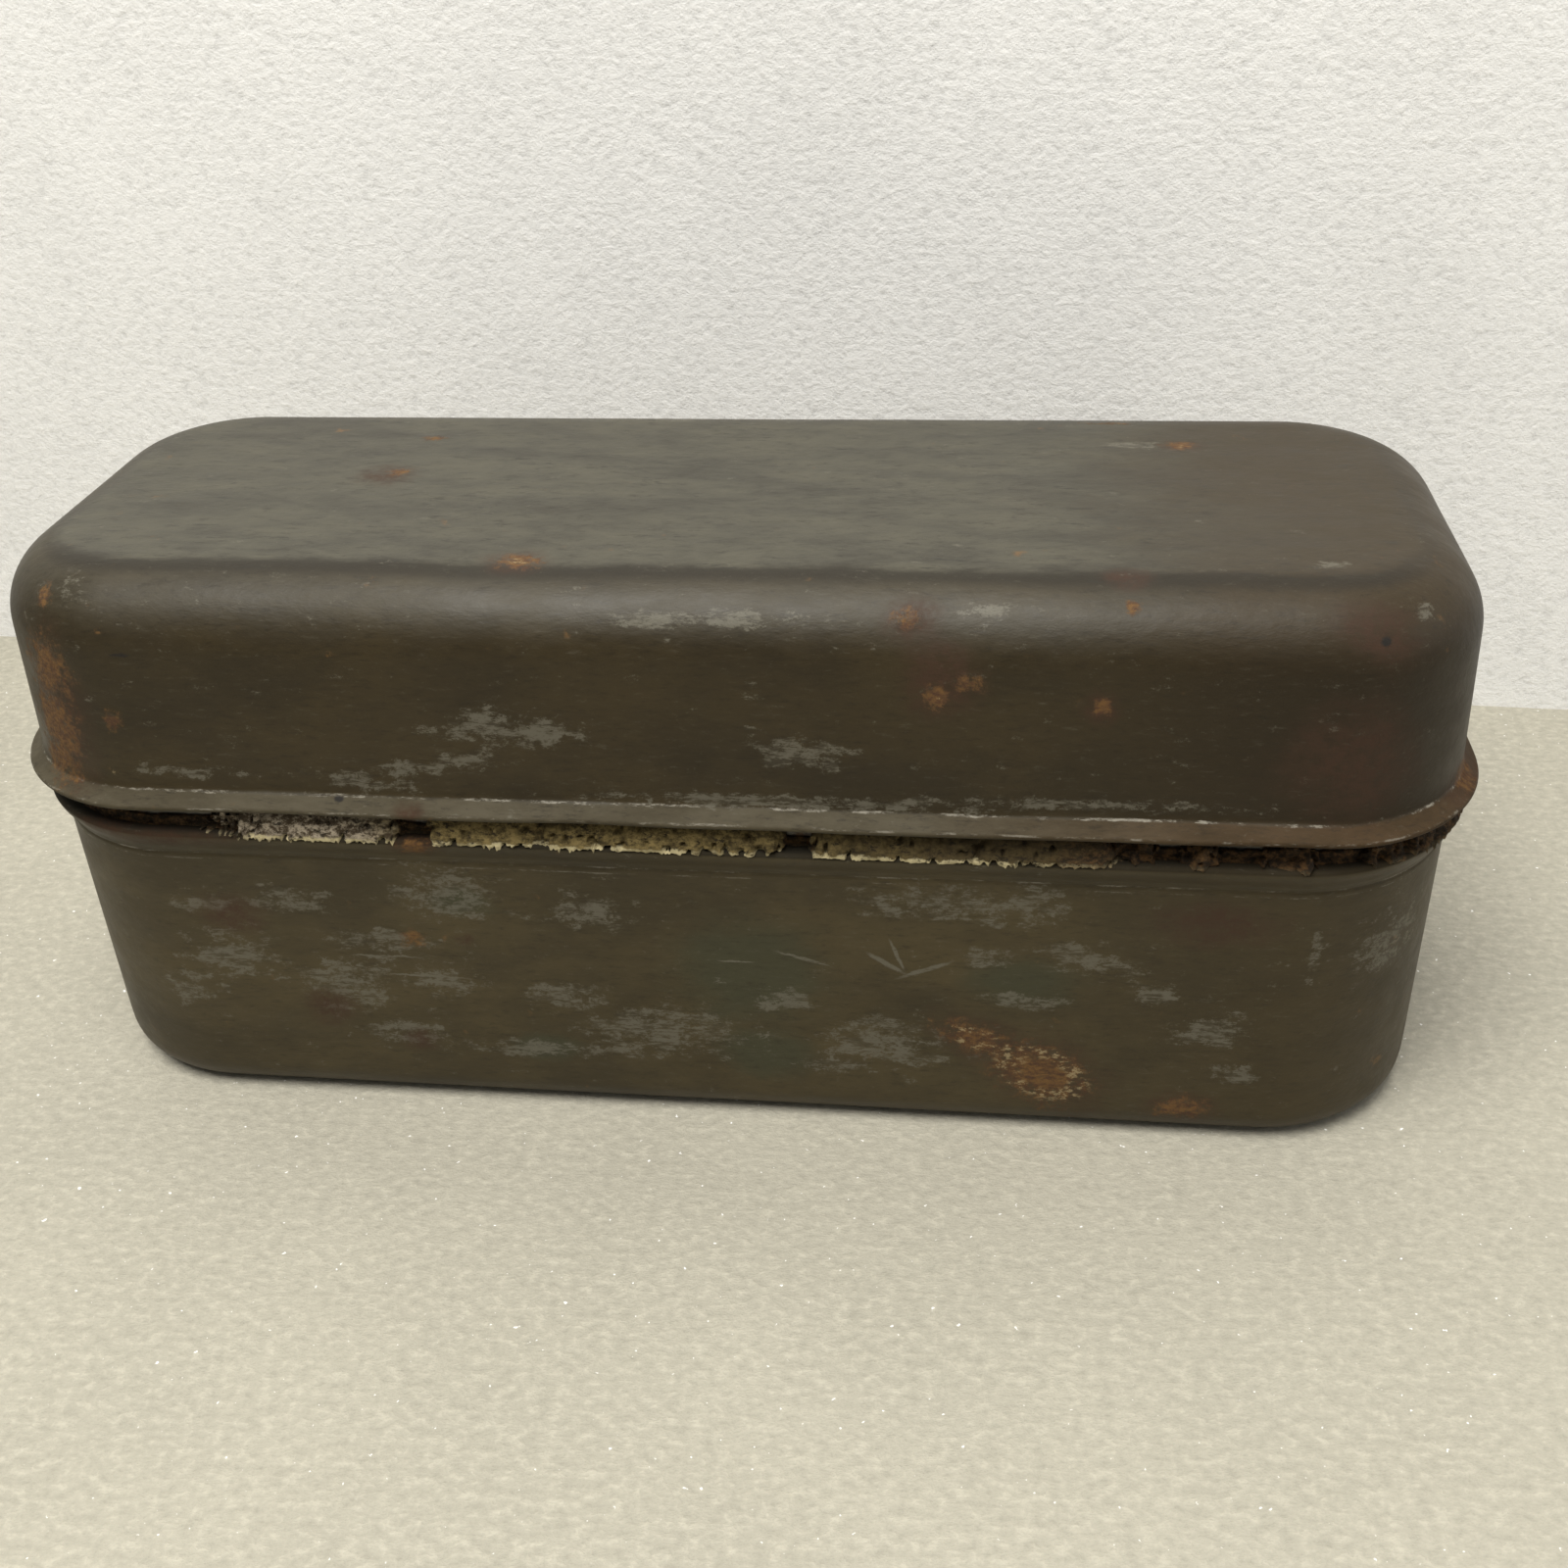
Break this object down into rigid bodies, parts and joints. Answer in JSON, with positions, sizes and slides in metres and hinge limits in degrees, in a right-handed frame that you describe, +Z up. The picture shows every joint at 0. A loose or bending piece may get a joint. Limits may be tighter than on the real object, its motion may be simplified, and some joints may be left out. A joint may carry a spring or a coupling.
{
  "type": "hinged metal case",
  "caption": "Deep-drawn sheet-steel case with large rounded corners, a hinged lid closing on a sealing strip, and a divided interior for medicine bottles.",
  "frame": {"origin": "middle of the flat underside of the base", "axes": "+X along the length, to the right as seen from the front; +Y towards the hinges at the back; +Z up"},
  "size_m": [0.25, 0.0981, 0.1026],
  "materials": {
    "base_paint": "worn olive-drab paint over steel, scuffed and rusting",
    "lid_paint": "worn olive-drab paint over steel, semi-matt",
    "neck_steel": "darkened tinned steel with rust",
    "perished_strip": "dried, crumbling cream strip",
    "hinge_paint": "worn olive-drab paint, bare at the edges",
    "pin_steel": "dull steel",
    "rivet_paint": "worn olive-drab paint, bare on the crowns",
    "rack_steel": "dull tinned steel"
  },
  "bodies": {
    "base": {"base_shell": "base_paint", "neck_band": "neck_steel", "sealing_strip": "perished_strip", "hinge_base_leaf_left": "hinge_paint", "hinge_base_leaf_right": "hinge_paint", "hinge_pin_left": "pin_steel", "hinge_pin_right": "pin_steel", "base_rivets_left": "rivet_paint", "base_rivets_right": "rivet_paint", "long_divider": "rack_steel", "cross_divider_1": "rack_steel", "cross_divider_2": "rack_steel", "cross_divider_3": "rack_steel", "cross_divider_4": "rack_steel", "cross_divider_5": "rack_steel"},
    "lid": {"lid_shell": "lid_paint", "hinge_lid_leaf_left": "hinge_paint", "hinge_lid_leaf_right": "hinge_paint", "lid_rivets_left": "rivet_paint", "lid_rivets_right": "rivet_paint"}
  },
  "joints": [
    {"name": "lid_hinge", "type": "hinge", "parent": "base", "child": "lid", "pos_m": [0, 0.04895, 0.061], "axis": [-1, 0, 0], "range_deg": [0, 105]}
  ]
}
